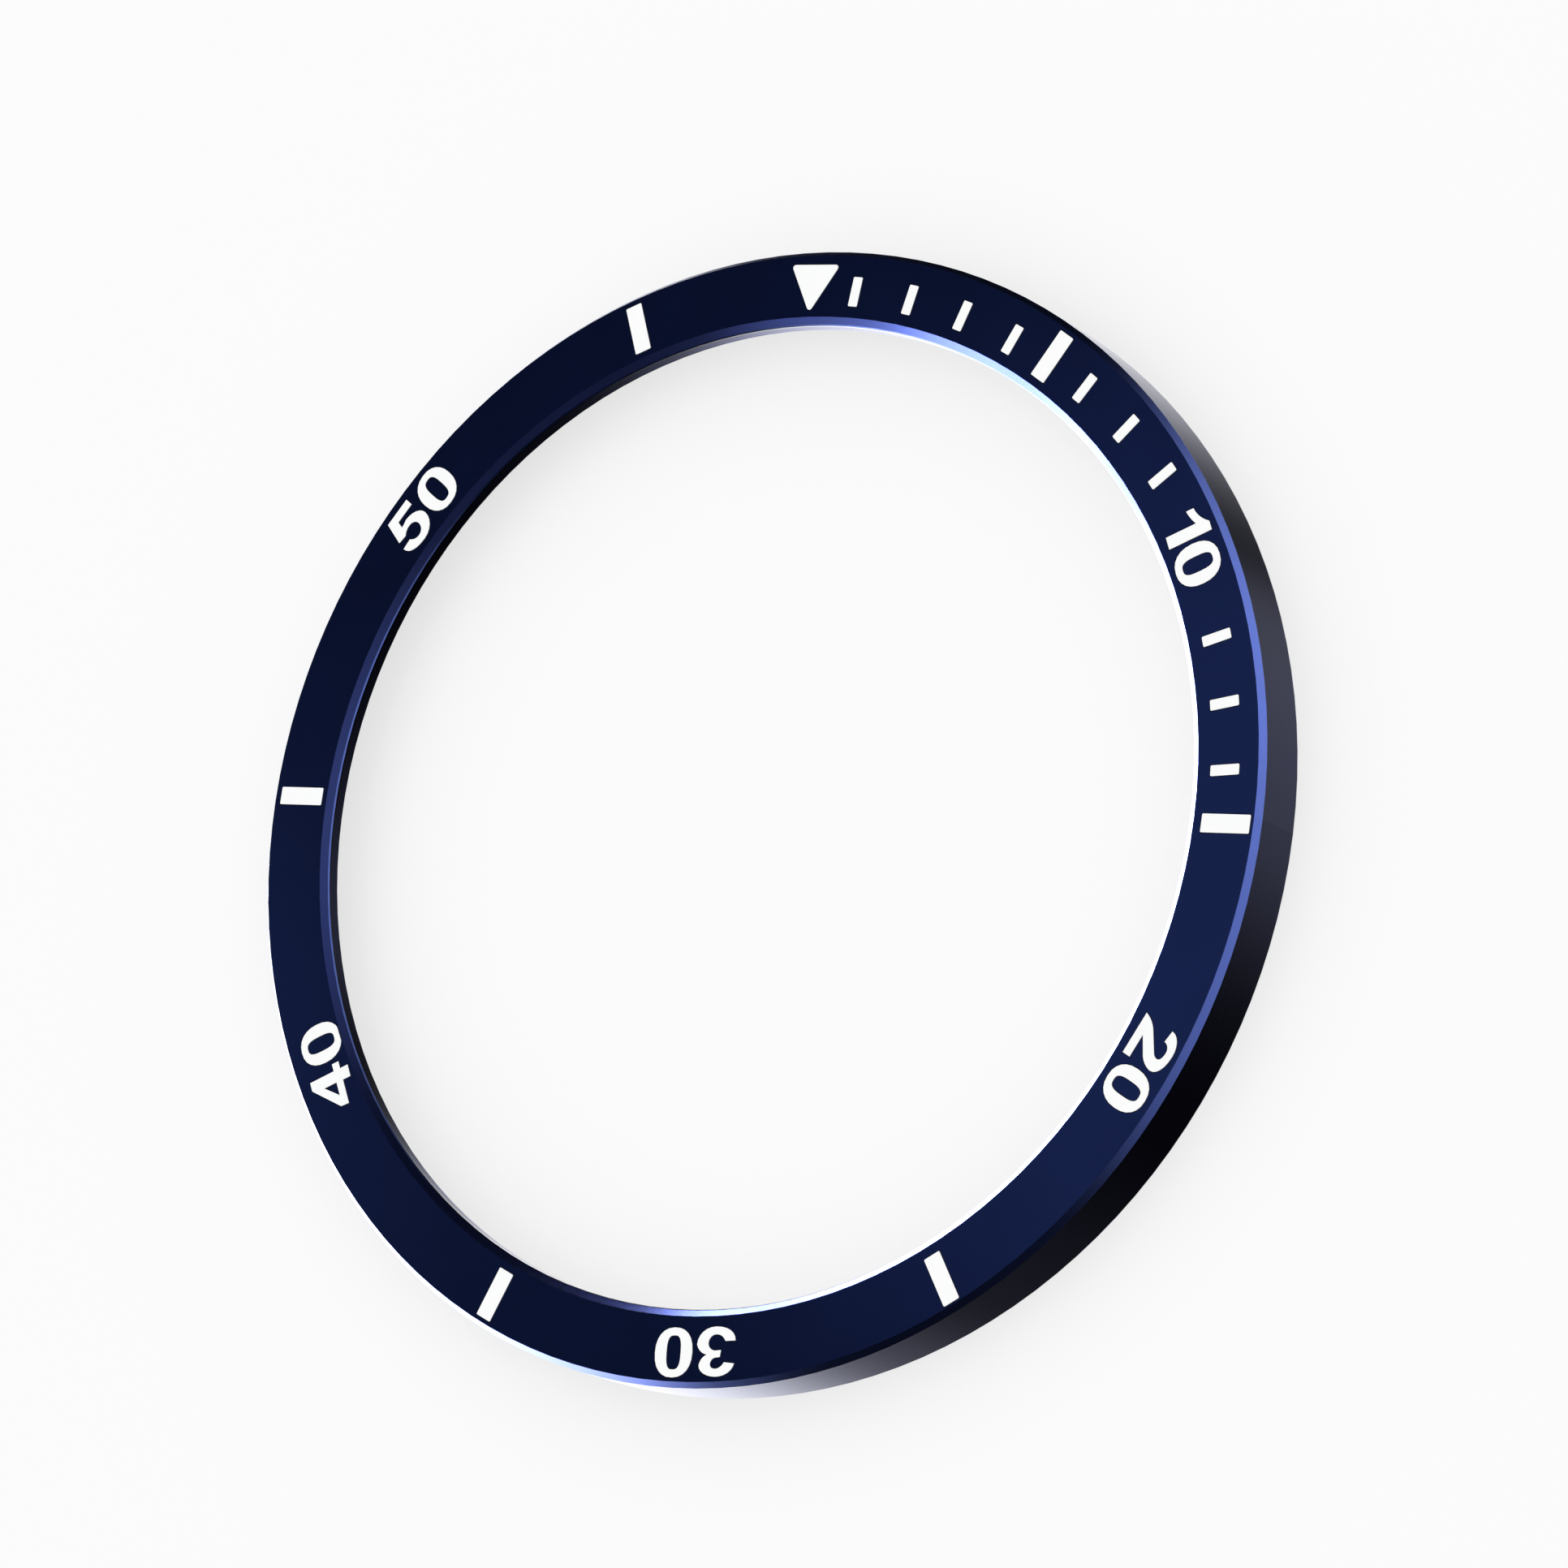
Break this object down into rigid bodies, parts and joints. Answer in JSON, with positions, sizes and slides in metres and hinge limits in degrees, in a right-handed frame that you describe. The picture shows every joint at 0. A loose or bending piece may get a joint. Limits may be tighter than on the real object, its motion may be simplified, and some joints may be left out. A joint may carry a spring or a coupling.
{
  "type": "watch bezel ring",
  "caption": "Thin round bezel ring for a watch: a bevelled face plate with inlaid minute marks on an L-section carrier that seats over the watch's rim.",
  "frame": {"origin": "centre of the ring on the plane of the skirt's back edge", "axes": "+Z out of the face, +Y towards the zero triangle, +X towards the 15 bar"},
  "size_m": [0.046, 0.046, 0.0029],
  "materials": {
    "carrier_metal": "satin polished, bare",
    "face_blue": "fine bead-blasted and anodised navy, satin",
    "mark_white": "opaque white, smooth",
    "adhesive_film": "thin bonding film",
    "adhesive_tape": "double-sided mounting tape"
  },
  "bodies": {
    "root": {"carrier_ring": "carrier_metal", "face_plate": "face_blue", "bonding_film": "adhesive_film", "mounting_adhesive": "adhesive_tape", "zero_triangle": "mark_white", "bar_05": "mark_white", "bar_15": "mark_white", "bar_25": "mark_white", "bar_35": "mark_white", "bar_45": "mark_white", "bar_55": "mark_white", "tick_01": "mark_white", "tick_02": "mark_white", "tick_03": "mark_white", "tick_04": "mark_white", "tick_06": "mark_white", "tick_07": "mark_white", "tick_08": "mark_white", "tick_12": "mark_white", "tick_13": "mark_white", "tick_14": "mark_white", "numeral_10": "mark_white", "numeral_20": "mark_white", "numeral_30": "mark_white", "numeral_40": "mark_white", "numeral_50": "mark_white"}
  },
  "joints": []
}
